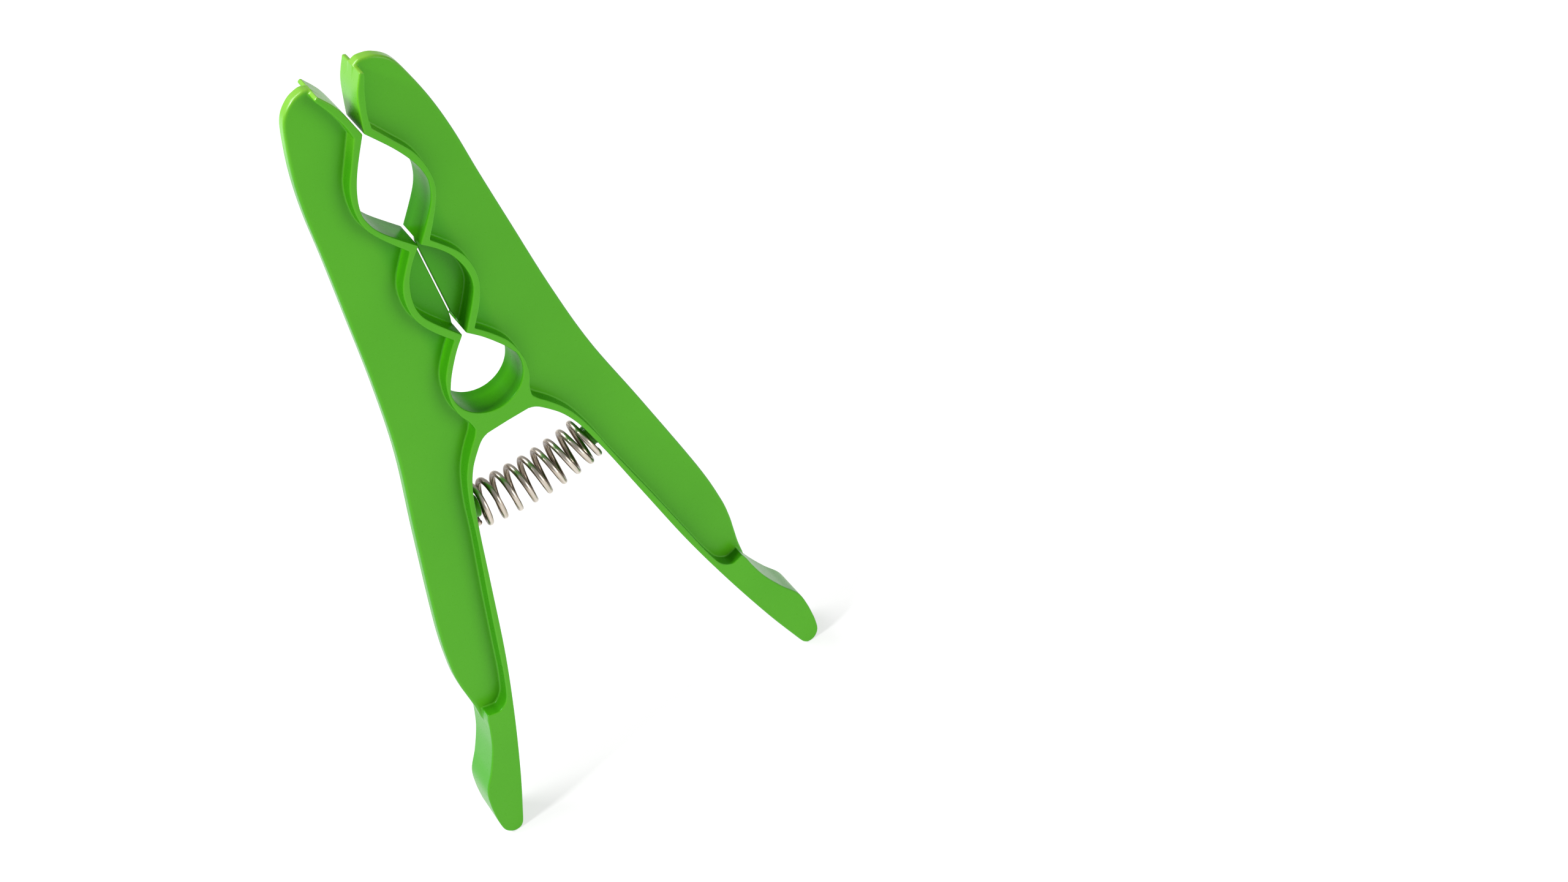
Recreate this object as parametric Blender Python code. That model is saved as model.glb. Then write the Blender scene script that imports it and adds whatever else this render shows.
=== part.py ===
"""A sprung clothespin: two moulded arms on one living hinge, with a coil spring between the handles.

It stands on its two handle tips with the jaws up. X is the way the jaws open, Y runs from the front face
to the back face, and Z is the length. Outlines are in millimetres and describe the right arm, which the
left arm mirrors. The script works in metres, with +Z up.
"""
import math

import bmesh
import bpy
from mathutils import Vector

MM = 0.001

# Moulding
WALL_DEPTH = 5.2  # front face to back face of every wall and grip
WEB_DEPTH = 1.6  # thickness of the plate along the middle of each arm
FLOOR_DEPTH = 0.6  # thickness of the floor in the lobe between the jaw lobe and the line lobe
CURVE_STEPS = 4  # straight steps between two points of a smooth outline

# Living hinge: a strip between the round line lobe and the arch over the spring
HINGE_Z = 54.6  # joint axis, halfway up the strip
ARCH_Z = 53.47  # underside of the strip
STRIP_RADIUS = 2.1  # the strip ends on arcs around the joint axis
SPLIT_GAP = 0.3  # clearance between two solids that meet
LINE_LOBE_RADIUS = 4.25
LINE_LOBE_Z = 59.85
ARC_STEPS = 14

# Spring
WIRE = 0.72  # wire diameter
COIL_RADIUS = 2.45  # to the middle of the wire
TURNS = 9.0
OPEN_HALF_LENGTH = 8.28  # half length if every turn had the pitch of the middle ones
END_TURN_CLOSING = 0.95  # how much shorter the closed end turns make each half
COIL_Z = 43.05  # coil axis at the middle of the spring
COIL_RISE = 0.9  # how far the coil axis rises from its middle to OPEN_HALF_LENGTH
START_ANGLE = 3.0
STEPS_PER_TURN = 20
WIRE_SIDES = 6

# Boss inside each end of the coil
BOSS_RADIUS = 1.3
BOSS_HEIGHT = 0.95
BOSS_ROOT = 0.3  # how deep the boss starts inside the handle wall
BOSS_X = 7.95
BOSS_Z = 43.9
BOSS_TILT = math.radians(14)
BOSS_SIDES = 24

# Faces that the cloth and the line touch, from the jaw tip down. The lists share their end points
JAW_TIP = (2.4, 99.65)
CUSP_1 = (0.07, 93.45)
CUSP_2 = (0.12, 78.8)
CUSP_3 = (0.22, 66.35)
MOUTH = [JAW_TIP, (1.2, 97.5), (0.4, 94.8), CUSP_1]
JAW_LOBE = [CUSP_1, (2.02, 90.4), (3.18, 88.07), (3.76, 86.1), (3.74, 84.45), (2.82, 82.26), CUSP_2]
WEB_LOBE = [CUSP_2, (1.5, 77.3), (2.6, 75.6), (3.25, 73.4), (3.2, 71.3), (2.25, 69.35), CUSP_3]
LINE_LOBE_FLANK = [CUSP_3, (1.7, 64.7), (3.25, 62.45), (4.15, 60.7)]

# Pocket sides of the same walls, from the jaw tip down
CUSP_1_BACK = (1.05, 93.6)
CUSP_2_BACK = (1.25, 78.75)
CUSP_3_BACK = (1.3, 66.3)
HINGE_CORNER = (3.65, 54.75)
NECK = (17.8, 18.2)
MOUTH_BACK = [(2.8, 99.1), (2.05, 97.5), (1.3, 95.25), CUSP_1_BACK]
JAW_LOBE_BACK = [CUSP_1_BACK, (2.45, 91.2), (3.8, 88.75), (4.37, 86.3), (4.27, 83.93), (3.2, 81.65)]
JAW_LOBE_BACK += [CUSP_2_BACK]
WEB_LOBE_BACK = [CUSP_2_BACK, (3.3, 75.9), (4.05, 73.7), (4.0, 71.2), (3.0, 68.8), CUSP_3_BACK]
LINE_LOBE_BACK = [CUSP_3_BACK, (2.7, 64.6), (4.05, 62.4), (4.65, 59.8), (4.5, 57.6), (3.85, 55.9)]
LINE_LOBE_BACK += [HINGE_CORNER]
HANDLE_BACK = [HINGE_CORNER, (4.15, 53.9), (5.05, 52.8), (6.15, 51.2), (7.15, 49.15), (8.2, 45.75)]
HANDLE_BACK += [(9.15, 41.5), (11.35, 32.8), (13.75, 22.7)]
POCKET_END = [(13.75, 22.7), (14.4, 20.4), (15.05, 18.8), (16.1, 17.9), (17.0, 17.95), NECK]

# Outer side of the grip from the neck down, then round the tip and up the inner side to the arch
THUMB_REST = [NECK, (18.15, 17.2), (18.5, 15.75), (19.3, 13.3), (20.75, 10.35), (22.25, 7.85)]
THUMB_REST += [(22.75, 5.4), (22.9, 2.9)]
GRIP_TIP = [(22.9, 2.9), (22.75, 1.2), (22.15, 0.3), (21.25, 0.0), (20.45, 0.45), (19.8, 1.95)]
HANDLE_INNER = [(19.8, 1.95), (17.7, 7.65), (15.05, 15.85), (12.55, 24.65), (10.3, 34.2), (8.7, 41.2)]
HANDLE_INNER += [(7.75, 45.0), (6.9, 47.95), (5.8, 50.3), (4.47, 52.05), (3.47, 53.05), (2.6, 53.43)]

# Plate: its outer edge from the jaw tip down, then back up inside the walls
WEB_OUTER = [(2.42, 99.7), (2.85, 99.93), (3.5, 100.0), (4.9, 99.53), (6.33, 98.1), (7.3, 95.35)]
WEB_OUTER += [(8.2, 91.65), (8.85, 87.25), (9.32, 81.6), (10.04, 74.25), (11.0, 64.8), (12.38, 55.45)]
WEB_OUTER += [(14.84, 44.95), (17.72, 32.05), (18.65, 25.9), (18.76, 22.9), (18.61, 20.8), (18.45, 18.9)]
WEB_OUTER += [(18.43, 17.6), (18.42, 16.7), (18.1, 15.9)]
WEB_IN_HANDLE = [(17.0, 16.2), (14.6, 18.4), (13.3, 23.0), (10.2, 35.9), (8.5, 43.1), (7.15, 48.2)]
WEB_IN_HANDLE += [(5.1, 52.2), (3.3, 54.3), (3.6, 56.9), (4.45, 59.8), (3.75, 62.35), (2.3, 64.55)]
WEB_IN_HANDLE += [(0.9, 66.35)]
WEB_IN_LOBE = [(0.85, 66.5), (1.7, 67.8), (2.6, 69.05), (3.6, 71.25), (3.65, 73.5), (2.95, 75.75)]
WEB_IN_LOBE += [(1.9, 77.4), (0.8, 78.8)]
WEB_IN_JAW = [(0.8, 78.8), (2.25, 80.7), (3.55, 83.0), (4.15, 85.2), (3.5, 88.45), (2.25, 90.9)]
WEB_IN_JAW += [(0.6, 93.5), (0.75, 95.1), (1.4, 97.3), (1.95, 98.65)]

# Thin floor of the web lobe: its edge along the split between the arms. The rest lies in the walls
FLOOR_SPLIT = [(0.5, 66.5), (0.15, 68.0), (0.15, 77.9), (0.5, 78.8)]
FLOOR_IN_WALL = [(0.7, 78.7), (1.8, 77.45), (2.85, 75.8), (3.55, 73.5), (3.5, 71.3), (2.5, 69.1)]
FLOOR_IN_WALL += [(1.6, 67.85), (0.75, 66.55)]


def clear_scene():
    for old in list(bpy.data.objects):
        bpy.data.objects.remove(old)


def plastic(name, colour):
    material = bpy.data.materials.new(name)
    material.use_nodes = True
    shader = material.node_tree.nodes["Principled BSDF"]
    shader.inputs["Base Color"].default_value = (*colour, 1.0)
    shader.inputs["Roughness"].default_value = 0.35
    shader.inputs["Metallic"].default_value = 0.0
    return material


def spring_steel():
    material = plastic("spring_steel", (0.62, 0.6, 0.56))
    shader = material.node_tree.nodes["Principled BSDF"]
    shader.inputs["Roughness"].default_value = 0.22
    shader.inputs["Metallic"].default_value = 1.0
    return material


def between(a, b, c, d, t):
    """One coordinate of a Catmull-Rom curve, at t from 0 to 1 on the way from b to c."""
    bend = (2 * a - 5 * b + 4 * c - d) * t**2 + (3 * b - a - 3 * c + d) * t**3
    return 0.5 * (2 * b + (c - a) * t + bend)


def smooth(points):
    """A curve through points, sampled CURVE_STEPS times between each two, without the last point."""
    ends = [points[0], *points, points[-1]]
    curve = []
    for near in zip(ends, ends[1:], ends[2:], ends[3:]):
        for step in range(CURVE_STEPS):
            curve.append(tuple(between(*values, step / CURVE_STEPS) for values in zip(*near)))
    return curve


def arc(centre_z, radius, start, end, steps):
    """Points on a circle centred on the middle plane. Angles are from +X, and both ends are kept."""
    angles = [start + (end - start) * i / steps for i in range(steps + 1)]
    return [(radius * math.cos(a), centre_z + radius * math.sin(a)) for a in angles]


def lobe_angle(radius):
    """Where the line lobe's circle meets a circle of this radius around the joint axis."""
    drop = LINE_LOBE_Z - HINGE_Z
    from_below = math.acos((drop**2 + LINE_LOBE_RADIUS**2 - radius**2) / (2 * drop * LINE_LOBE_RADIUS))
    return from_below - math.pi / 2


def end_arc(radius):
    """The end of the hinge strip, or of the arm that faces it, from the arch up to the line lobe."""
    start = math.asin((ARCH_Z - HINGE_Z) / radius)
    lobe_end = arc(LINE_LOBE_Z, LINE_LOBE_RADIUS, lobe_angle(radius), 0, 1)[0]
    end = math.atan2(lobe_end[1] - HINGE_Z, lobe_end[0])
    return arc(HINGE_Z, radius, start, end, 6)


def wall_outline():
    """The full-depth walls of the right arm as one closed outline."""
    split_radius = STRIP_RADIUS + SPLIT_GAP
    flank_end = math.asin((LINE_LOBE_FLANK[-1][1] - LINE_LOBE_Z) / LINE_LOBE_RADIUS)
    outline = smooth(MOUTH) + smooth(JAW_LOBE) + smooth(WEB_LOBE) + smooth(LINE_LOBE_FLANK)
    outline += arc(LINE_LOBE_Z, LINE_LOBE_RADIUS, flank_end, lobe_angle(split_radius), ARC_STEPS)[:-1]
    outline += reversed(end_arc(split_radius))
    outline += reversed(smooth(HANDLE_INNER))
    outline += reversed(smooth(GRIP_TIP))
    outline += reversed(smooth(THUMB_REST))
    outline += reversed(smooth(POCKET_END))
    outline += reversed(smooth(HANDLE_BACK))
    for back in (LINE_LOBE_BACK, WEB_LOBE_BACK, JAW_LOBE_BACK, MOUTH_BACK):
        outline += reversed(smooth(back))
    return outline


def web_outline():
    """The right arm's plate as one closed outline, whose inner edge stays inside the walls."""
    return smooth(WEB_OUTER) + smooth(WEB_IN_HANDLE) + smooth(WEB_IN_LOBE) + smooth(WEB_IN_JAW)


def strip_outline():
    lobe = lobe_angle(STRIP_RADIUS)
    top = arc(LINE_LOBE_Z, LINE_LOBE_RADIUS, lobe, -math.pi - lobe, 8)
    right = end_arc(STRIP_RADIUS)
    left = [(-x, z) for x, z in reversed(right)]
    return right + top[1:-1] + left


def new_object(name, mesh_builder, material):
    mesh = bpy.data.meshes.new(name)
    mesh_builder.normal_update()
    mesh_builder.to_mesh(mesh)
    mesh_builder.free()
    mesh.shade_smooth()
    mesh.set_sharp_from_angle(angle=math.radians(30))
    obj = bpy.data.objects.new(name, mesh)
    bpy.context.scene.collection.objects.link(obj)
    mesh.materials.append(material)
    return obj


def plate(name, outline, depth, side, material):
    """A flat solid of this outline, centred on Y. side is 1 for the right arm and -1 for the left."""
    builder = bmesh.new()
    front = [builder.verts.new((side * x * MM, -depth / 2 * MM, z * MM)) for x, z in outline]
    face = builder.faces.new(front)
    moved = bmesh.ops.extrude_face_region(builder, geom=[face])["geom"]
    back = [item for item in moved if isinstance(item, bmesh.types.BMVert)]
    bmesh.ops.translate(builder, verts=back, vec=(0, depth * MM, 0))
    bmesh.ops.recalc_face_normals(builder, faces=builder.faces)
    return new_object(name, builder, material)


def boss(name, side, material):
    """The short peg on a handle's inner side that holds the end of the spring."""
    length = BOSS_HEIGHT + BOSS_ROOT
    builder = bmesh.new()
    bmesh.ops.create_cone(
        builder, cap_ends=True, segments=BOSS_SIDES,
        radius1=BOSS_RADIUS * MM, radius2=BOSS_RADIUS * MM, depth=length * MM,
    )
    peg = new_object(name, builder, material)
    inward = Vector((-side * math.cos(BOSS_TILT), 0, -math.sin(BOSS_TILT)))
    foot = Vector((side * BOSS_X, 0, BOSS_Z)) * MM
    peg.location = foot + inward * (length / 2 - BOSS_ROOT) * MM
    peg.rotation_euler = inward.to_track_quat("Z", "Y").to_euler()
    return peg


def join(target, cutter):
    """Adds cutter to target with a Boolean and hides it."""
    modifier = target.modifiers.new(cutter.name, "BOOLEAN")
    modifier.operation = "UNION"
    modifier.solver = "EXACT"
    modifier.object = cutter
    cutter.hide_render = True
    cutter.display_type = "WIRE"


def arm(name, side, material):
    walls = plate(name, wall_outline(), WALL_DEPTH, side, material)
    join(walls, plate(name + "_web", web_outline(), WEB_DEPTH, side, material))
    join(walls, plate(name + "_floor", FLOOR_SPLIT + smooth(FLOOR_IN_WALL), FLOOR_DEPTH, side, material))
    join(walls, boss(name + "_boss", side, material))
    return walls


def coil_point(u):
    """The wire's centre, and the outward direction there, at u from -1 to 1 along the spring."""
    along = OPEN_HALF_LENGTH * u
    x = along - END_TURN_CLOSING * u**9
    tangent = Vector((1, 0, 2 * COIL_RISE * along / OPEN_HALF_LENGTH**2)).normalized()
    upward = Vector((-tangent.z, 0, tangent.x))
    angle = math.pi * TURNS * (u + 1) + START_ANGLE
    outward = upward * math.cos(angle) - Vector((0, 1, 0)) * math.sin(angle)
    centre = Vector((x, 0, COIL_Z + COIL_RISE * (along / OPEN_HALF_LENGTH) ** 2))
    return centre + outward * COIL_RADIUS, outward


def coil_spring(name, material):
    """The wire swept along its helix as one closed tube."""
    builder = bmesh.new()
    steps = round(TURNS * STEPS_PER_TURN)
    rings = []
    for i in range(steps + 1):
        u = 2 * i / steps - 1
        centre, outward = coil_point(u)
        ahead = (coil_point(u + 0.001)[0] - coil_point(u - 0.001)[0]).normalized()
        sideways = ahead.cross(outward).normalized()
        ring = []
        for k in range(WIRE_SIDES):
            angle = 2 * math.pi * k / WIRE_SIDES
            offset = (outward * math.cos(angle) + sideways * math.sin(angle)) * WIRE / 2
            ring.append(builder.verts.new((centre + offset) * MM))
        rings.append(ring)
    for a, b in zip(rings, rings[1:]):
        for k in range(WIRE_SIDES):
            j = (k + 1) % WIRE_SIDES
            builder.faces.new((a[k], a[j], b[j], b[k]))
    builder.faces.new(reversed(rings[0]))
    builder.faces.new(rings[-1])
    bmesh.ops.recalc_face_normals(builder, faces=builder.faces)
    return new_object(name, builder, material)


def hinge_axis():
    """The empty that carries the right arm on the joint's axis."""
    axis = bpy.data.objects.new("hinge_axis", None)
    axis.location = (0, 0, HINGE_Z * MM)
    bpy.context.scene.collection.objects.link(axis)
    return axis


def build():
    clear_scene()
    green = plastic("green_plastic", (0.1, 0.42, 0.03))
    steel = spring_steel()
    arm("left_arm", -1, green)
    right = arm("right_arm", 1, green)
    plate("hinge_bridge", strip_outline(), WALL_DEPTH, 1, green)
    coil_spring("coil_spring", steel)
    axis = hinge_axis()
    bpy.context.view_layer.update()
    right.parent = axis
    right.matrix_parent_inverse = axis.matrix_world.inverted()


build()
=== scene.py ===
"""The looks of the sprung clothespin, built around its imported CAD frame.

The moulding is drawn once more from its outlines, in millimetres, with the rounded edges and fillets that
a moulded part has. It is cut at the hinge into a left arm, a bending strip and a right arm. The spring is a
finer coil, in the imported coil's place. X is the way the jaws open, Y runs from front to back, and Z is the
length.
"""

import math

import bmesh
import bpy
import numpy as np
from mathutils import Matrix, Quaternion, Vector


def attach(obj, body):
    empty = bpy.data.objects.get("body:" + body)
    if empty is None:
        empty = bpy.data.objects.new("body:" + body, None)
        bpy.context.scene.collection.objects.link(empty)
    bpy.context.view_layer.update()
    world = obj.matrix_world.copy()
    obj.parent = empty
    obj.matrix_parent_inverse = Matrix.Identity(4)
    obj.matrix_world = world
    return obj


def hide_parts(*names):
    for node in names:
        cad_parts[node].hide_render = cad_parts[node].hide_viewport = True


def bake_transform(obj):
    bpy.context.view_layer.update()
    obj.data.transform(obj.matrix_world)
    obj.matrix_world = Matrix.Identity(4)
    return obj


MM = 0.001

# Moulding
WALL_DEPTH = 5.2  # front face to back face of every wall and grip
WEB_DEPTH = 1.6  # thickness of the plate along the middle of each arm
FLOOR_DEPTH = 0.6  # thickness of the floor in the lobe between the jaw lobe and the line lobe
CURVE_STEPS = 8  # straight steps between two points of a smooth outline
LINE_LOBE_RADIUS = 4.25
LINE_LOBE_Z = 59.85
ARCH_Z = 53.47
HINGE_CUT_X = 2.6  # the bending strip lies between two cuts this far from the middle
HINGE_BOTTOM_Z = 51.47  # the strip's faces lie between these two heights
HINGE_TOP_Z = 57.3
LOBE_STEPS = 28  # straight steps in the round part of the line lobe

# Radii of the moulding's rounded edges, and of the fillets in its corners
ROUND_WALL = 0.15
ROUND_RIM = 0.32  # outer edge of the plate
ROUND_SPLIT = 0.05  # edge of the lobe floor, along the split
ROUND_BOSS = 0.2
FILLET = 0.2
FILLET_BOSS = 0.15

# The moulding's surface is found on a grid of cells, from distance maps that are three times as fine
LOW = (-24.0, -3.0, -0.9)
HIGH = (24.0, 3.0, 101.1)
CELL = 0.15
MAP_STEP = 0.05
REACH = 1.5  # how far from an outline a distance is measured
SETTLING_STEPS = 2  # how often the found points are moved onto the surface
KEPT_SHARE = 0.3  # of the faces, once flat places are thinned out

# Faces that the cloth and the line touch, from the jaw tip down. The lists share their end points
JAW_TIP = (2.45, 99.67)
CUSP_1 = (0.07, 93.45)
CUSP_2 = (0.12, 78.8)
CUSP_3 = (0.22, 66.35)
MOUTH = [JAW_TIP, (2.27, 99.42), (1.2, 97.5), (0.4, 94.8), CUSP_1]
JAW_LOBE = [CUSP_1, (2.02, 90.4), (3.18, 88.07), (3.76, 86.1), (3.74, 84.45), (2.82, 82.26), CUSP_2]
WEB_LOBE = [CUSP_2, (1.5, 77.3), (2.6, 75.6), (3.25, 73.4), (3.2, 71.3), (2.25, 69.35), CUSP_3]
LINE_LOBE_FLANK = [CUSP_3, (1.7, 64.7), (3.25, 62.45), (4.15, 60.7)]

# Pocket sides of the same walls, from the jaw tip down
CUSP_1_BACK = (1.05, 93.6)
CUSP_2_BACK = (1.25, 78.75)
CUSP_3_BACK = (1.3, 66.3)
HINGE_CORNER = (3.65, 54.75)
NECK = (17.8, 18.2)
MOUTH_BACK = [(2.66, 99.58), (2.8, 99.25), (2.05, 97.5), (1.3, 95.25), CUSP_1_BACK]
JAW_LOBE_BACK = [CUSP_1_BACK, (2.45, 91.2), (3.8, 88.75), (4.37, 86.3), (4.27, 83.93), (3.2, 81.65)]
JAW_LOBE_BACK += [CUSP_2_BACK]
WEB_LOBE_BACK = [CUSP_2_BACK, (3.3, 75.9), (4.05, 73.7), (4.0, 71.2), (3.0, 68.8), CUSP_3_BACK]
LINE_LOBE_BACK = [CUSP_3_BACK, (2.7, 64.6), (4.05, 62.4), (4.65, 59.8), (4.5, 57.6), (3.85, 55.9)]
LINE_LOBE_BACK += [HINGE_CORNER]
HANDLE_BACK = [HINGE_CORNER, (4.15, 53.9), (5.05, 52.8), (6.15, 51.2), (7.15, 49.15), (8.2, 45.75)]
HANDLE_BACK += [(9.15, 41.5), (11.35, 32.8), (13.75, 22.7)]
POCKET_END = [(13.75, 22.7), (14.4, 20.4), (15.05, 18.8), (16.1, 17.9), (17.0, 17.95), NECK]

# Outer side of the grip from the neck down, then round the tip and up the inner side to the arch
THUMB_REST = [NECK, (18.15, 17.2), (18.5, 15.75), (19.3, 13.3), (20.75, 10.35), (22.25, 7.85)]
THUMB_REST += [(22.75, 5.4), (22.9, 2.9)]
GRIP_TIP = [(22.9, 2.9), (22.75, 1.2), (22.15, 0.3), (21.25, 0.0), (20.45, 0.45), (19.8, 1.95)]
HANDLE_INNER = [(19.8, 1.95), (17.7, 7.65), (15.05, 15.85), (12.55, 24.65), (10.3, 34.2), (8.7, 41.2)]
HANDLE_INNER += [(7.75, 45.0), (6.9, 47.95), (5.8, 50.3), (4.47, 52.05), (3.47, 53.05)]
HANDLE_INNER += [(HINGE_CUT_X, 53.43)]

# Plate: its outer edge from the jaw tip down, then back up inside the walls
WEB_OUTER = [(2.42, 99.7), (2.85, 99.93), (3.5, 100.0), (4.9, 99.53), (6.33, 98.1), (7.3, 95.35)]
WEB_OUTER += [(8.2, 91.65), (8.85, 87.25), (9.32, 81.6), (10.04, 74.25), (11.0, 64.8), (12.38, 55.45)]
WEB_OUTER += [(14.84, 44.95), (17.72, 32.05), (18.65, 25.9), (18.76, 22.9), (18.61, 20.8), (18.45, 18.9)]
WEB_OUTER += [(18.43, 17.6), (18.42, 16.7), (18.1, 15.9)]
WEB_IN_HANDLE = [(17.0, 16.2), (14.6, 18.4), (13.3, 23.0), (10.2, 35.9), (8.5, 43.1), (7.15, 48.2)]
WEB_IN_HANDLE += [(5.1, 52.2), (3.3, 54.3), (3.6, 56.9), (4.45, 59.8), (3.75, 62.35), (2.3, 64.55)]
WEB_IN_HANDLE += [(0.9, 66.35)]
WEB_IN_LOBE = [(0.85, 66.5), (1.7, 67.8), (2.6, 69.05), (3.6, 71.25), (3.65, 73.5), (2.95, 75.75)]
WEB_IN_LOBE += [(1.9, 77.4), (0.8, 78.8)]
WEB_IN_JAW = [(0.8, 78.8), (2.25, 80.7), (3.55, 83.0), (4.15, 85.2), (3.5, 88.45), (2.25, 90.9)]
WEB_IN_JAW += [(0.6, 93.5), (0.75, 95.1), (1.4, 97.3), (1.95, 98.65)]

# Thin floor of the web lobe: its edge along the split between the arms. The rest is WEB_IN_LOBE
FLOOR_SPLIT = [(0.45, 66.5), (0.25, 67.3), (0.09, 68.3), (0.09, 77.9), (0.4, 78.8)]

# Boss inside each end of the coil
BOSS_RADIUS = 1.3
BOSS_HEIGHT = 0.95
BOSS_ROOT = 0.3  # how deep the boss starts inside the handle wall
BOSS_X = 7.95
BOSS_Z = 43.9
BOSS_TILT = math.radians(14)

# Spring
WIRE = 0.72  # wire diameter
COIL_RADIUS = 2.41  # to the middle of the wire
TURNS = 9.0
OPEN_HALF_LENGTH = 8.28  # half length if every turn had the pitch of the middle ones
END_TURN_CLOSING = 0.95  # how much shorter the closed end turns make each half
END_TURN_POWER = 9  # how suddenly the end turns close
COIL_Z = 43.05  # coil axis at the middle of the spring
COIL_RISE = 0.9  # how far the coil axis rises from its middle to OPEN_HALF_LENGTH
START_ANGLE = 3.0  # radians round the coil, at the left end of the wire
STEPS_PER_TURN = 44
WIRE_SIDES = 16
END_CHAMFER = 0.06  # length of the chamfer at each cut end
END_SIZE = 0.72  # share of the wire's diameter that the cut face has
SHARP_ANGLE = math.radians(50)  # edges that turn further than this stay sharp

# Steel of the wire, from the browner drawing marks and the painted shade on the flanks and inside of the
# coil, up to the painted bright reflection on the coil's outside
WIRE_MARK_AND_LIGHT_COLOURS = [
    (0.02, (0.13, 0.09, 0.055, 1)),
    (0.38, (0.42, 0.35, 0.27, 1)),
    (0.72, (0.70, 0.64, 0.56, 1)),
]
WIRE_MARKS = (1.6, 1.6, 0.05)  # how dense the marks are across the wire and along it
MARK_SCALE = 1.6
PAINTED_FLANK_SHADE = -0.62  # painted shade: how far down the colours the flanks go
PAINTED_OUTSIDE_LIGHT = 0.2  # painted light and shade: how far up the coil's outside goes, and down its inside
WIRE_ROUGHNESS = (0.22, 0.38)

# Greens of the moulding: two tones that change at random, a painted highlight, and two painted shades
PLASTIC_DARK = (0.078, 0.41, 0.008, 1)
PLASTIC_LIGHT = (0.088, 0.44, 0.010, 1)
# Painted highlight: a yellower green on the up-facing rims round the jaw ends, where the overhead light
# falls
PAINTED_RIM_HIGHLIGHT = (0.17, 0.43, 0.025, 1)
# Painted shade on the sides of the walls below the jaw tips
PAINTED_SHADE_GREEN = (0.022, 0.24, 0.002, 1)
# Painted shade on the lobe floor between the walls
PAINTED_FLOOR_SHADE = (0.058, 0.385, 0.004, 1)
PLASTIC_IOR = 1.49
PLASTIC_ROUGHNESS = (0.24, 0.34)
PLASTIC_GLOSS = 0.24
LOBE_GLOSS = 0.05
RIM_GLOSS = 0.55
PAINTED_SHADE_SHARE = 0.7  # how far the sides of the walls go towards the painted shade colour
FLOW_SCALE = 60  # noise of the slow change in colour
GRAIN_SCALE = 2600  # noise of the fine grain in the surface

# Where the look of the plastic changes, in metres. Each change starts at one value and is full at the other
# Painted highlight on the up-facing rims of the jaw ends, from this height up
LIT_RIM_Z = (0.088, 0.097)
# Painted shade on the sides of the walls, from the jaw tips down
PAINTED_SHADE_Z = (0.096, 0.091)
# Painted shade on the lobe floor between the walls, within these sizes
LOBE_FLOOR_X = (0.0042, 0.0030)
LOBE_FLOOR_Y = (0.0018, 0.0009)
LOBE_FLOOR_Z = (0.084, 0.079)
BEYOND_LOBES_X = (0.0042, 0.0060)

# The same for the way the surface faces: 1 is along the axis in the name, and 0 is square to it
# Painted highlight on faces that look up
LIT_RIM_FACING_Z = (0.0, 0.9)
# Painted shade on faces that look sideways
SIDE_FACING_Y = (0.95, 0.2)
EDGE_FACING_Y = (0.98, 0.8)

# Soft boxes: place in metres, side in metres, power in watts
LAMPS = {
    "overhead": ((-0.38, 0.36, 0.82), 0.55, 8.0),
    "spark": ((-0.5, -0.06, 0.7), 0.13, 5.0),
    "front": ((0.5, -0.65, 0.1), 0.45, 2.6),
}
LAMP_TARGET = (0, 0, 0.05)
ROOM_LIGHT = 0.34
TABLE_HALF = 4.0  # half the table's side
TABLE_GREY = 0.3
TABLE_GLOW = 0.7

# Camera
CAMERA_PLACE = (-0.0327, -0.2359, 0.2292)
CAMERA_LOOKS_ALONG = (0.1939, 0.7459, -0.6372)
CAMERA_ROLL = math.radians(22.64)
CAMERA_LENS = 61.2  # millimetres, as is the width of the sensor
CAMERA_SENSOR = 36
CAMERA_NEAREST = 0.01


def between(a, b, c, d, t):
    """One coordinate of a Catmull-Rom curve, at t from 0 to 1 on the way from b to c."""
    return 0.5 * (2 * b + (c - a) * t + (2 * a - 5 * b + 4 * c - d) * t**2 + (3 * b - a - 3 * c + d) * t**3)


def smooth(points):
    """A curve through points, sampled CURVE_STEPS times between each two, without the last point."""
    ends = [points[0], *points, points[-1]]
    curve = []
    for near in zip(ends, ends[1:], ends[2:], ends[3:]):
        for step in range(CURVE_STEPS):
            curve.append(tuple(between(*values, step / CURVE_STEPS) for values in zip(*near)))
    return curve


def arc(centre_z, radius, start, end, steps):
    """Points on a circle centred on the middle plane. Angles are from +X, and both ends are kept."""
    angles = [start + (end - start) * i / steps for i in range(steps + 1)]
    return [(radius * math.cos(a), centre_z + radius * math.sin(a)) for a in angles]


def web_outline():
    return smooth(WEB_OUTER) + smooth(WEB_IN_HANDLE) + smooth(WEB_IN_LOBE) + smooth(WEB_IN_JAW)


def floor_outline():
    return FLOOR_SPLIT + list(reversed(smooth(WEB_IN_LOBE)))


def mirrored(outline):
    return [(-x, z) for x, z in reversed(outline)]


def moulding_outline():
    """The full-depth walls of both arms and the hinge strip between them, as one closed outline."""
    flank_end = math.asin((LINE_LOBE_FLANK[-1][1] - LINE_LOBE_Z) / LINE_LOBE_RADIUS)
    outer = []
    for side in (
        MOUTH_BACK, JAW_LOBE_BACK, WEB_LOBE_BACK, LINE_LOBE_BACK,
        HANDLE_BACK, POCKET_END, THUMB_REST, GRIP_TIP, HANDLE_INNER,
    ):
        outer += smooth(side)
    inner = smooth(MOUTH) + smooth(JAW_LOBE) + smooth(WEB_LOBE) + smooth(LINE_LOBE_FLANK)
    inner += arc(LINE_LOBE_Z, LINE_LOBE_RADIUS, flank_end, -math.pi / 2, LOBE_STEPS)
    right = list(reversed(inner)) + outer + [(0, ARCH_Z)]
    return right[1:-1] + [(0, ARCH_Z)] + mirrored(right[1:-1]) + [right[0]]


def link(name, data):
    obj = bpy.data.objects.new(name, data)
    bpy.context.scene.collection.objects.link(obj)
    return obj


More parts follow.
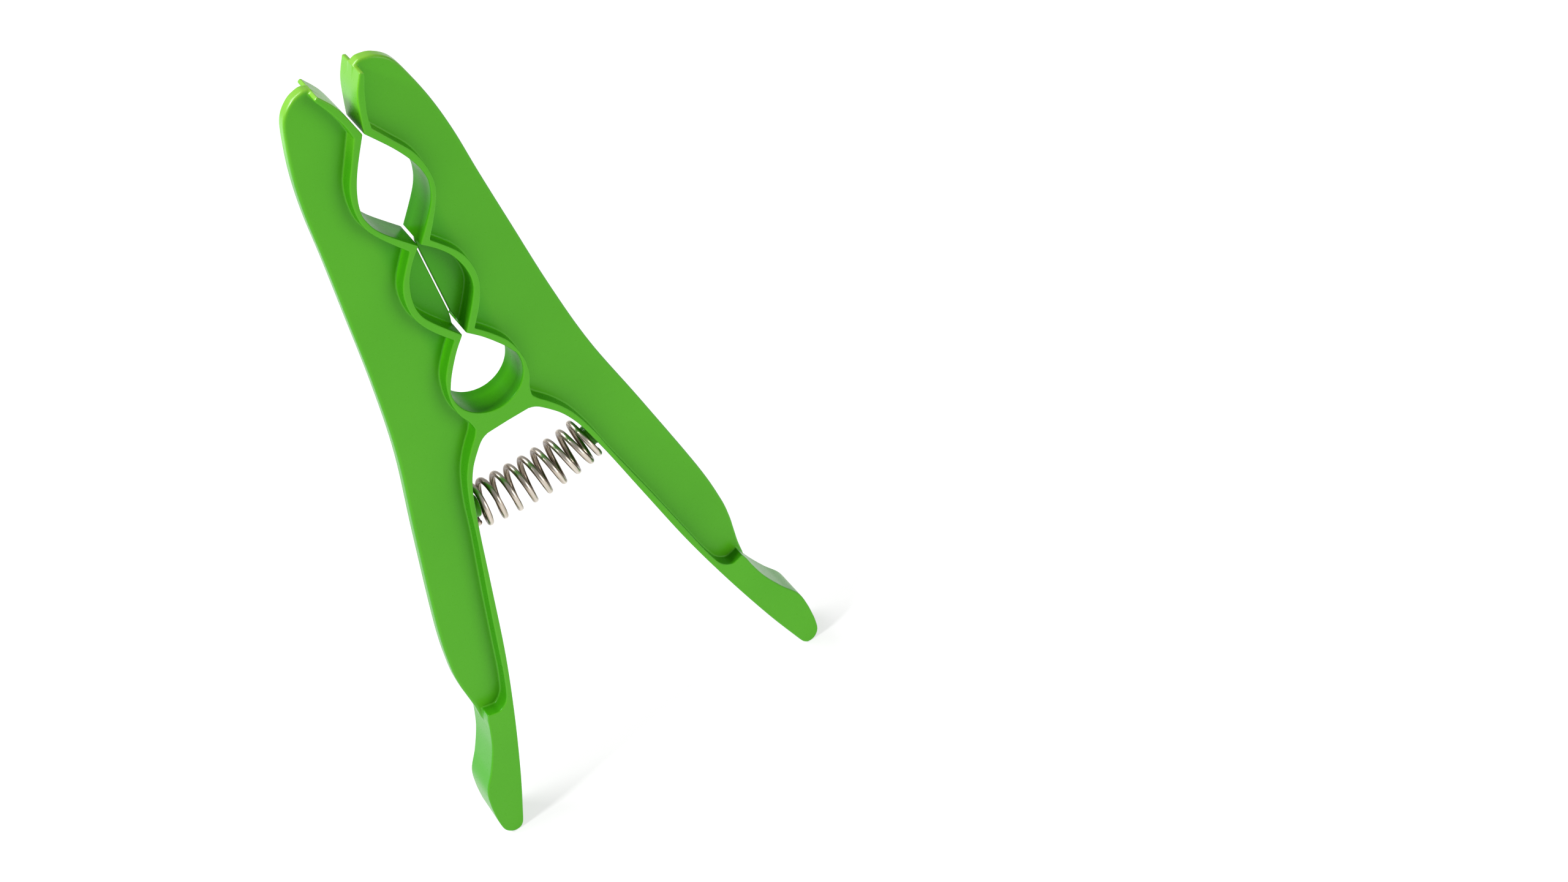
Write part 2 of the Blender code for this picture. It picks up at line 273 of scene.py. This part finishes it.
class Region:
    """Signed distances in millimetres from a closed outline, on a fine grid. They are negative inside."""

    def __init__(self, outline):
        self.columns = round((HIGH[0] - LOW[0]) / MAP_STEP) + 1
        self.rows = round((HIGH[2] - LOW[2]) / MAP_STEP) + 1
        xs = LOW[0] + MAP_STEP * np.arange(self.columns)
        zs = LOW[2] + MAP_STEP * np.arange(self.rows)
        far = np.full((self.columns, self.rows), REACH)
        inside = np.zeros((self.columns, self.rows), bool)
        for (x0, z0), (x1, z1) in zip(outline, outline[1:] + outline[:1]):
            i0, i1 = self.window(x0, x1, LOW[0], self.columns)
            k0, k1 = self.window(z0, z1, LOW[2], self.rows)
            px, pz = xs[i0:i1, None] - x0, zs[None, k0:k1] - z0
            dx, dz = x1 - x0, z1 - z0
            share = np.clip((px * dx + pz * dz) / max(dx * dx + dz * dz, 1e-12), 0, 1)
            near = np.hypot(px - share * dx, pz - share * dz)
            far[i0:i1, k0:k1] = np.minimum(far[i0:i1, k0:k1], near)
            crossed = np.nonzero((zs >= min(z0, z1)) & (zs < max(z0, z1)))[0]
            if len(crossed):
                meets = x0 + (zs[crossed] - z0) * dx / dz
                inside[:, crossed] ^= xs[:, None] < meets[None, :]
        self.map = np.where(inside, -far, far)

    @staticmethod
    def window(a, b, low, count):
        """The columns or rows of the grid that lie within reach of a stretch from a to b."""
        start = int((min(a, b) - REACH - low) / MAP_STEP)
        end = int((max(a, b) + REACH - low) / MAP_STEP) + 2
        return max(start, 0), min(end, count)

    def at(self, x, z):
        """Distances at any points, from the four grid points round each."""
        u = np.clip((x - LOW[0]) / MAP_STEP, 0, self.columns - 1.001)
        v = np.clip((z - LOW[2]) / MAP_STEP, 0, self.rows - 1.001)
        i, k = u.astype(int), v.astype(int)
        s, t = u - i, v - k
        m = self.map
        lower = m[i, k] * (1 - s) + m[i + 1, k] * s
        upper = m[i, k + 1] * (1 - s) + m[i + 1, k + 1] * s
        return lower * (1 - t) + upper * t


def rounded(side, end, rounding):
    """The distance to the common part of two shapes, from the distance to each, with a rounded edge."""
    a = side + rounding
    b = end + rounding
    return np.minimum(np.maximum(a, b), 0) + np.hypot(np.maximum(a, 0), np.maximum(b, 0)) - rounding


def slab(outline_distance, y, depth, rounding):
    """The distance to a flat solid of this depth with rounded edges."""
    return rounded(outline_distance, np.abs(y) - depth / 2, rounding)


def joined(a, b, fillet):
    """The distance to two solids as one, with a round fillet in the corner between them."""
    corner = np.hypot(np.maximum(fillet - a, 0), np.maximum(fillet - b, 0))
    return np.maximum(fillet, np.minimum(a, b)) - corner


def boss_distance(x, y, z):
    """The distance to the boss inside either end of the coil."""
    along = (np.abs(x) - BOSS_X) * -math.cos(BOSS_TILT) + (z - BOSS_Z) * -math.sin(BOSS_TILT)
    across = (np.abs(x) - BOSS_X) * -math.sin(BOSS_TILT) + (z - BOSS_Z) * math.cos(BOSS_TILT)
    end = np.abs(along - (BOSS_HEIGHT - BOSS_ROOT) / 2) - (BOSS_HEIGHT + BOSS_ROOT) / 2
    return rounded(np.hypot(across, y) - BOSS_RADIUS, end, ROUND_BOSS)


class Moulding:
    """The shape of the whole moulding as a distance, in millimetres, from its surface."""

    def __init__(self):
        self.walls = Region(moulding_outline())
        self.web = Region(web_outline())
        self.floor = Region(floor_outline())

    def distance(self, x, y, z):
        walls = slab(self.walls.at(x, z), y, WALL_DEPTH, ROUND_WALL)
        web = slab(self.web.at(np.abs(x), z), y, WEB_DEPTH, ROUND_RIM)
        floor = slab(self.floor.at(np.abs(x), z), y, FLOOR_DEPTH, ROUND_SPLIT)
        body = joined(walls, np.minimum(web, floor), FILLET)
        return joined(body, boss_distance(x, y, z), FILLET_BOSS)

    def outward(self, points):
        """Unit directions of steepest distance at these points, which are the surface's normals."""
        step = MAP_STEP
        x, y, z = points.T
        found = np.stack([
            self.distance(x + step, y, z) - self.distance(x - step, y, z),
            self.distance(x, y + step, z) - self.distance(x, y - step, z),
            self.distance(x, y, z + step) - self.distance(x, y, z - step),
        ], axis=1)
        return found / np.maximum(np.linalg.norm(found, axis=1, keepdims=True), 1e-9)


def surface_net(shape):
    """A closed mesh of quads on a shape's surface, with one point in each grid cell that it crosses."""
    counts = [round((high - low) / CELL) + 1 for low, high in zip(LOW, HIGH)]
    x, y, z = (low + CELL * np.arange(n) for low, n in zip(LOW, counts))
    grid = shape.distance(x[:, None, None], y[None, :, None], z[None, None, :]).astype(np.float32)
    inside = grid < 0
    cells = tuple(n - 1 for n in counts)
    total = np.zeros((*cells, 3), np.float32)
    crossings = np.zeros(cells, np.uint8)
    edges = []
    for axis in range(3):
        low = [slice(None)] * 3
        high = [slice(None)] * 3
        low[axis], high[axis] = slice(None, -1), slice(1, None)
        start = np.argwhere(inside[tuple(low)] != inside[tuple(high)])
        end = start.copy()
        end[:, axis] += 1
        a, b = grid[tuple(start.T)], grid[tuple(end.T)]
        place = start.astype(np.float32)
        place[:, axis] += a / (a - b)
        others = [n for n in range(3) if n != axis]
        corners = []
        for down, left in ((1, 1), (0, 1), (0, 0), (1, 0)):
            cell = start.copy()
            cell[:, others[0]] -= down
            cell[:, others[1]] -= left
            corners.append(cell)
            np.add.at(total, tuple(cell.T), place)
            np.add.at(crossings, tuple(cell.T), 1)
        edges.append((corners, (a < 0) == (axis != 1)))
    used = np.argwhere(crossings > 0)
    number = np.full(cells, -1, np.int64)
    number[tuple(used.T)] = np.arange(len(used))
    points = total[tuple(used.T)] / crossings[tuple(used.T)][:, None] * CELL + np.array(LOW)
    quads = []
    for corners, forward in edges:
        quad = np.stack([number[tuple(c.T)] for c in corners], axis=1)
        quads.append(np.where(forward[:, None], quad, quad[:, ::-1]))
    return points, np.concatenate(quads)


def moulding_mesh(shape):
    """The moulding's surface, thinned out where it is flat, with two cuts round the hinge."""
    points, quads = surface_net(shape)
    for _ in range(SETTLING_STEPS):
        points -= shape.outward(points) * shape.distance(*points.T)[:, None]
    mesh = bpy.data.meshes.new("moulding")
    mesh.from_pydata(points * MM, [], quads.tolist())
    whole = link("moulding", mesh)
    thin = whole.modifiers.new("thin", "DECIMATE")
    thin.ratio = KEPT_SHARE
    bpy.context.view_layer.update()
    graph = bpy.context.evaluated_depsgraph_get()
    result = bpy.data.meshes.new_from_object(whole.evaluated_get(graph))
    bpy.data.objects.remove(whole)
    builder = bmesh.new()
    builder.from_mesh(result)
    for side in (1, -1):
        faces = [f for f in builder.faces if near_hinge(f.calc_center_median())]
        edges = dict.fromkeys(e for f in faces for e in f.edges)
        corners = dict.fromkeys(v for f in faces for v in f.verts)
        bmesh.ops.bisect_plane(
            builder, geom=[*faces, *edges, *corners], dist=0.001 * MM,
            plane_co=(side * HINGE_CUT_X * MM, 0, 0), plane_no=(1, 0, 0),
        )
    builder.to_mesh(result)
    builder.free()
    return result


def near_hinge(centre):
    return abs(centre.x) < 2 * HINGE_CUT_X * MM and HINGE_BOTTOM_Z < centre.z / MM < HINGE_TOP_Z


def part_of(centre):
    if abs(centre.x) < HINGE_CUT_X * MM and near_hinge(centre):
        return "hinge_strip"
    return "right_moulding" if centre.x > 0 else "left_moulding"


def split_moulding(shape, material):
    """Three closed objects from the one mesh. Each keeps the shape's own normals, so no seam shows."""
    mesh = moulding_mesh(shape)
    objects = {}
    for name in ("left_moulding", "hinge_strip", "right_moulding"):
        used = {}
        loops = []
        for polygon in mesh.polygons:
            if part_of(polygon.center) == name:
                loops.append([used.setdefault(v, len(used)) for v in polygon.vertices])
        coords = [mesh.vertices[v].co.copy() for v in used]
        outward = shape.outward(np.array(coords) / MM)
        corner_normals = [outward[v] for loop in loops for v in loop]
        for loop in cut_loops(loops):
            facing = Vector((0, 0, 0))
            for i, j in zip(loop, loop[1:] + loop[:1]):
                facing += (coords[i] - coords[loop[0]]).cross(coords[j] - coords[loop[0]])
            loops.append(loop)
            corner_normals += [facing.normalized()] * len(loop)
        piece = bpy.data.meshes.new(name)
        piece.from_pydata(coords, [], loops)
        piece.materials.append(material)
        piece.shade_smooth()
        piece.normals_split_custom_set(corner_normals)
        objects[name] = link(name, piece)
    return objects


def cut_loops(loops):
    """The open edges of a set of faces, as closed loops that run the way a face which fills them would."""
    edges = {(i, j) for loop in loops for i, j in zip(loop, loop[1:] + loop[:1])}
    following = {j: i for i, j in edges if (j, i) not in edges}
    found = []
    while following:
        start, here = following.popitem()
        loop = [start]
        while here != start:
            loop.append(here)
            here = following.pop(here)
        found.append(loop)
    return found


def coil_point(u):
    """The wire's centre, and the outward direction there, at u from -1 to 1 along the spring."""
    along = OPEN_HALF_LENGTH * u
    x = along - END_TURN_CLOSING * u**END_TURN_POWER
    tangent = Vector((1, 0, 2 * COIL_RISE * along / OPEN_HALF_LENGTH**2)).normalized()
    upward = Vector((-tangent.z, 0, tangent.x))
    angle = math.pi * TURNS * (u + 1) + START_ANGLE
    outward = upward * math.cos(angle) - Vector((0, 1, 0)) * math.sin(angle)
    centre = Vector((x, 0, COIL_Z + COIL_RISE * (along / OPEN_HALF_LENGTH) ** 2))
    return centre + outward * COIL_RADIUS, outward


def spring(material):
    """The wire swept along its helix, and how far along it each point lies, from 0 to 1.

    Its straight_wire attribute says where a point lies on the wire before it was coiled.
    """
    builder = bmesh.new()
    steps = round(TURNS * STEPS_PER_TURN)
    share = []
    straight = []
    wire_length = 2 * math.pi * COIL_RADIUS * TURNS
    rings = []
    stations = [(-1, END_SIZE), *((2 * i / steps - 1, 1.0) for i in range(steps + 1)), (1, END_SIZE)]
    for number, (u, size) in enumerate(stations):
        centre, outward = coil_point(u)
        ahead = (coil_point(u + 0.001)[0] - coil_point(u - 0.001)[0]).normalized()
        shaded_sides = ahead.cross(outward).normalized()
        if number == 0:
            centre -= ahead * END_CHAMFER
        if number == len(stations) - 1:
            centre += ahead * END_CHAMFER
        ring = []
        for k in range(WIRE_SIDES):
            angle = 2 * math.pi * k / WIRE_SIDES
            offset = (outward * math.cos(angle) + shaded_sides * math.sin(angle)) * WIRE / 2 * size
            ring.append(builder.verts.new((centre + offset) * MM))
            share.append((u + 1) / 2)
            straight += [math.cos(angle), math.sin(angle), share[-1] * wire_length]
        rings.append(ring)
    for a, b in zip(rings, rings[1:]):
        for k in range(WIRE_SIDES):
            j = (k + 1) % WIRE_SIDES
            builder.faces.new((a[k], a[j], b[j], b[k]))
    builder.faces.new(reversed(rings[0]))
    builder.faces.new(rings[-1])
    bmesh.ops.recalc_face_normals(builder, faces=builder.faces)
    mesh = bpy.data.meshes.new("wire_spring")
    builder.to_mesh(mesh)
    builder.free()
    mesh.shade_smooth()
    mesh.set_sharp_from_angle(angle=SHARP_ANGLE)
    mesh.materials.append(material)
    mesh.attributes.new("straight_wire", "FLOAT_VECTOR", "POINT").data.foreach_set("vector", straight)
    return link("wire_spring", mesh), share


def add(tree, kind, inputs=None, **settings):
    """A new shader node. An input that is given an output of another node is linked to it."""
    node = tree.nodes.new("ShaderNode" + kind)
    for name, value in settings.items():
        setattr(node, name, value)
    for key, value in (inputs or {}).items():
        if isinstance(value, bpy.types.NodeSocket):
            tree.links.new(value, node.inputs[key])
        else:
            node.inputs[key].default_value = value
    return node


def calculate(tree, operation, *values):
    return add(tree, "Math", dict(enumerate(values)), operation=operation).outputs["Value"]


def fade(tree, value, start, end, low=0.0, high=1.0):
    """low where value is start, high where it is end, and in between on the way."""
    inputs = {"Value": value, "From Min": start, "From Max": end, "To Min": low, "To Max": high}
    return add(tree, "MapRange", inputs).outputs["Result"]


def mix(tree, share, colour, other):
    return add(tree, "Mix", {"Factor": share, "A": colour, "B": other}, data_type="RGBA").outputs["Result"]


def ramp(tree, value, stops):
    """A colour ramp with these stops, each a position and a colour."""
    node = add(tree, "ValToRGB", {"Fac": value})
    elements = node.color_ramp.elements
    for element, (position, colour) in zip(elements, (stops[0], stops[-1])):
        element.position = position
        element.color = colour
    for position, colour in stops[1:-1]:
        elements.new(position).color = colour
    return node.outputs["Color"]


def new_material(name):
    material = bpy.data.materials.new(name)
    material.use_nodes = True
    return material, material.node_tree, material.node_tree.nodes["Principled BSDF"]


def plastic_colour(tree, where, flat, lit_rim):
    """Green of random tone. A painted highlight makes the rims of the jaws yellower, and painted shade makes
    the sides of the walls and the lobe floor darker.
    """
    flow = add(tree, "TexNoise", {"Vector": where, "Scale": FLOW_SCALE, "Detail": 3})
    colour = ramp(tree, flow.outputs["Fac"], [(0.3, PLASTIC_DARK), (0.7, PLASTIC_LIGHT)])
    # Painted highlight: yellower on the up-facing rims of the jaw ends
    colour = mix(tree, lit_rim, colour, PAINTED_RIM_HIGHLIGHT)
    place = add(tree, "SeparateXYZ", {"Vector": where}).outputs
    # Painted shade on the sides of the walls below the jaw tips
    shaded_sides = fade(tree, flat, *SIDE_FACING_Y)
    below_tips = fade(tree, place["Z"], *PAINTED_SHADE_Z, 0.0, PAINTED_SHADE_SHARE)
    colour = mix(tree, calculate(tree, "MULTIPLY", shaded_sides, below_tips), colour, PAINTED_SHADE_GREEN)
    # Painted shade on the lobe floor, in the recess between the walls
    near_floor = fade(tree, calculate(tree, "ABSOLUTE", place["Y"]), *LOBE_FLOOR_Y)
    between_walls = fade(tree, calculate(tree, "ABSOLUTE", place["X"]), *LOBE_FLOOR_X)
    floor_shade = calculate(tree, "MULTIPLY", near_floor, between_walls)
    floor_shade = calculate(tree, "MULTIPLY", floor_shade, fade(tree, place["Z"], *LOBE_FLOOR_Z))
    return mix(tree, floor_shade, colour, PAINTED_FLOOR_SHADE)


def green_plastic():
    """Glossy green polypropylene, duller inside the lobes and shinier on the rims of the jaws."""
    material, tree, shader = new_material("green_moulded_plastic")
    texture = add(tree, "TexCoord").outputs
    where = texture["Object"]
    place = add(tree, "SeparateXYZ", {"Vector": where}).outputs
    facing = add(tree, "SeparateXYZ", {"Vector": texture["Normal"]}).outputs
    flat = calculate(tree, "ABSOLUTE", facing["Y"])
    upward = fade(tree, facing["Z"], *LIT_RIM_FACING_Z)
    # Up-facing rims of the jaw ends, which get the painted highlight colour and more gloss
    lit_rim = calculate(tree, "MULTIPLY", upward, fade(tree, place["Z"], *LIT_RIM_Z))
    colour = plastic_colour(tree, where, flat, lit_rim)
    aside = calculate(tree, "ABSOLUTE", place["X"])
    beyond_lobes = fade(tree, aside, *BEYOND_LOBES_X, LOBE_GLOSS, PLASTIC_GLOSS)
    on_faces = calculate(tree, "MULTIPLY", flat, PLASTIC_GLOSS)
    gloss = calculate(tree, "MAXIMUM", beyond_lobes, on_faces)
    edge = fade(tree, flat, *EDGE_FACING_Y, 0.0, RIM_GLOSS)
    gloss = calculate(tree, "MULTIPLY_ADD", edge, lit_rim, gloss)
    grain = add(tree, "TexNoise", {"Vector": where, "Scale": GRAIN_SCALE, "Detail": 2}).outputs["Fac"]
    bump = add(tree, "Bump", {"Strength": 0.04, "Distance": 0.00004, "Height": grain})
    shader.inputs["IOR"].default_value = PLASTIC_IOR
    shader.inputs["Specular IOR Level"].default_value = PLASTIC_GLOSS
    tree.links.new(colour, shader.inputs["Base Color"])
    tree.links.new(gloss, shader.inputs["Specular IOR Level"])
    tree.links.new(fade(tree, grain, 0.0, 1.0, *PLASTIC_ROUGHNESS), shader.inputs["Roughness"])
    tree.links.new(bump.outputs["Normal"], shader.inputs["Normal"])
    return material


def nickel_wire():
    """Bright plated wire, drawn lengthways and browner in its marks, with painted shade on its flanks and
    inside the coil and a painted bright reflection on the coil's outside.
    """
    material, tree, shader = new_material("nickel_plated_wire")
    straight = add(tree, "Attribute", attribute_name="straight_wire").outputs["Vector"]
    around = add(tree, "SeparateXYZ", {"Vector": straight}).outputs
    stretched = add(tree, "Mapping", {"Vector": straight, "Scale": WIRE_MARKS}).outputs["Vector"]
    drawn = add(tree, "TexNoise", {"Vector": stretched, "Scale": MARK_SCALE, "Detail": 5}).outputs["Fac"]
    # Painted shade on the flanks of the wire, painted light on the coil's outside and painted shade on its
    # inside
    flank = calculate(tree, "MULTIPLY", around["Y"], around["Y"])
    shaded = calculate(tree, "MULTIPLY_ADD", flank, PAINTED_FLANK_SHADE, drawn)
    shaded = calculate(tree, "MULTIPLY_ADD", around["X"], PAINTED_OUTSIDE_LIGHT, shaded)
    colour = ramp(tree, shaded, WIRE_MARK_AND_LIGHT_COLOURS)
    bump = add(tree, "Bump", {"Strength": 0.12, "Distance": 0.00002, "Height": drawn})
    shader.inputs["Metallic"].default_value = 1.0
    tree.links.new(colour, shader.inputs["Base Color"])
    tree.links.new(fade(tree, drawn, 0.0, 1.0, *WIRE_ROUGHNESS), shader.inputs["Roughness"])
    tree.links.new(bump.outputs["Normal"], shader.inputs["Normal"])
    return material


def studio():
    """A white table with a glow of its own, a white room and three soft boxes."""
    material, _, shader = new_material("white_table")
    shader.inputs["Base Color"].default_value = (TABLE_GREY, TABLE_GREY, TABLE_GREY, 1)
    shader.inputs["Emission Color"].default_value = (1, 1, 1, 1)
    shader.inputs["Emission Strength"].default_value = TABLE_GLOW
    shader.inputs["Roughness"].default_value = 1.0
    shader.inputs["Specular IOR Level"].default_value = 0.0
    mesh = bpy.data.meshes.new("floor")
    half = TABLE_HALF
    corners = [(-half, -half, 0), (half, -half, 0), (half, half, 0), (-half, half, 0)]
    mesh.from_pydata(corners, [], [(0, 1, 2, 3)])
    mesh.materials.append(material)
    link("floor", mesh)
    world = bpy.data.worlds.new("room")
    world.use_nodes = True
    background = world.node_tree.nodes["Background"]
    background.inputs["Color"].default_value = (1, 1, 1, 1)
    background.inputs["Strength"].default_value = ROOM_LIGHT
    bpy.context.scene.world = world
    for name, (place, side, power) in LAMPS.items():
        lamp = bpy.data.lights.new(name, "AREA")
        lamp.size = side
        lamp.energy = power
        obj = link(name, lamp)
        obj.location = place
        obj.rotation_euler = (Vector(LAMP_TARGET) - obj.location).to_track_quat("-Z", "Y").to_euler()


def camera():
    """The photograph's viewpoint. The camera is rolled, so the peg leans as it does in the photograph."""
    data = bpy.data.cameras.new("camera")
    data.lens = CAMERA_LENS
    data.sensor_width = CAMERA_SENSOR
    data.clip_start = CAMERA_NEAREST
    obj = link("camera", data)
    obj.location = CAMERA_PLACE
    looks_along = Vector(CAMERA_LOOKS_ALONG)
    turned = looks_along.to_track_quat("-Z", "Y")
    obj.rotation_mode = "QUATERNION"
    obj.rotation_quaternion = Quaternion(looks_along, CAMERA_ROLL) @ turned
    bpy.context.scene.camera = obj


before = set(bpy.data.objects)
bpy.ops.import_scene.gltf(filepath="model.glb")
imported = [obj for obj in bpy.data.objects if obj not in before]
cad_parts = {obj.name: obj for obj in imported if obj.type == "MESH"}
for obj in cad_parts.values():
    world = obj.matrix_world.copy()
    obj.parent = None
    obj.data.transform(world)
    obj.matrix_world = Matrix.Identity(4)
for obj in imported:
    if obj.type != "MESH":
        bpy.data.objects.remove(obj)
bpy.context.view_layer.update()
green = green_plastic()
pieces = split_moulding(Moulding(), green)
for name, body, node in (
    ("left_moulding", "left", "left_arm"),
    ("right_moulding", "right", "right_arm"),
):
    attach(pieces[name], body)
    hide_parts(node)
strip = pieces["hinge_strip"]
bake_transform(strip)
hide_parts("hinge_bridge")
coil, share = spring(nickel_wire())
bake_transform(coil)
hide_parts("coil_spring")
studio()
camera()
bpy.context.scene.view_settings.view_transform = "Standard"
